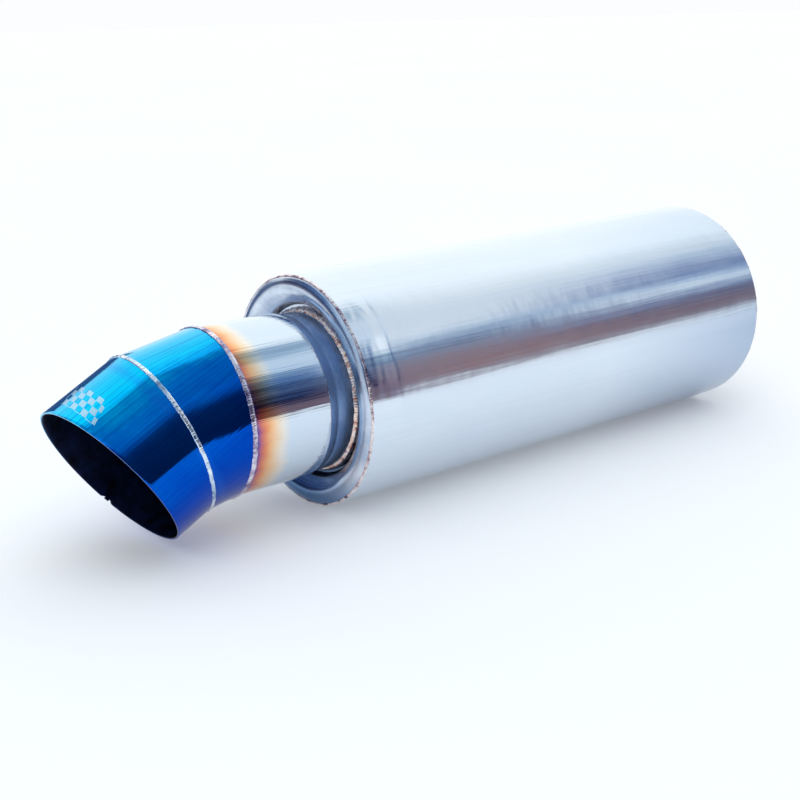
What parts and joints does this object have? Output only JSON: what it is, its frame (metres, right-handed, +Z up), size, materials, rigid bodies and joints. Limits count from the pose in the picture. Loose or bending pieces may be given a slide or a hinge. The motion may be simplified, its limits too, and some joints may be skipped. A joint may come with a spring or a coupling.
{
  "type": "straight-through racing muffler",
  "caption": "Round straight-through racing muffler: satin steel canister, dished end caps, polished outlet pipe and a heat-blued mitred tip turned down.",
  "frame": {"origin": "centre of the inlet pipe's open end", "axes": "+X along the canister towards the outlet, +Z up, with the tip turned down towards -Z"},
  "size_m": [0.4832, 0.127, 0.127],
  "materials": {
    "satin_shell": "satin stainless with soft lengthwise grain",
    "polished_steel": "polished stainless with a heat tint beside the tip weld",
    "pressed_steel": "bright pressed stainless",
    "gold_weld": "rippled bead with straw and copper heat colour",
    "silver_weld": "rippled silver bead with violet heat colour",
    "blued_tip": "glossy heat-blued metal, dark inside",
    "perforated_steel": "plain drilled stainless",
    "steel_wool": "matted stainless wool",
    "tie_wire": "drawn wire",
    "glass_fibre": "loose white glass fibre"
  },
  "bodies": {
    "root": {"canister_shell": "satin_shell", "canister_seam_weld": "silver_weld", "outlet_end_cap": "pressed_steel", "inlet_end_cap": "pressed_steel", "outlet_rim_weld": "gold_weld", "inlet_rim_weld": "gold_weld", "inlet_pipe": "polished_steel", "inlet_neck_weld": "gold_weld", "core_sleeve": "perforated_steel", "core_sleeve_weld": "silver_weld", "perforated_core": "perforated_steel", "core_outlet_cone": "perforated_steel", "cone_tack_welds": "silver_weld", "steel_wool_wrap": "steel_wool", "wool_tie_wires": "tie_wire", "glass_fibre_packing": "glass_fibre", "outlet_neck": "pressed_steel", "cone_neck_weld": "silver_weld", "neck_weld": "gold_weld", "outlet_pipe": "polished_steel", "pipe_neck_weld": "silver_weld", "tip_segment_inner": "blued_tip", "tip_segment_outer": "blued_tip", "tip_weld_inner": "silver_weld", "tip_weld_outer": "silver_weld", "tip_seam_inner": "silver_weld", "tip_seam_outer": "silver_weld"}
  },
  "joints": []
}
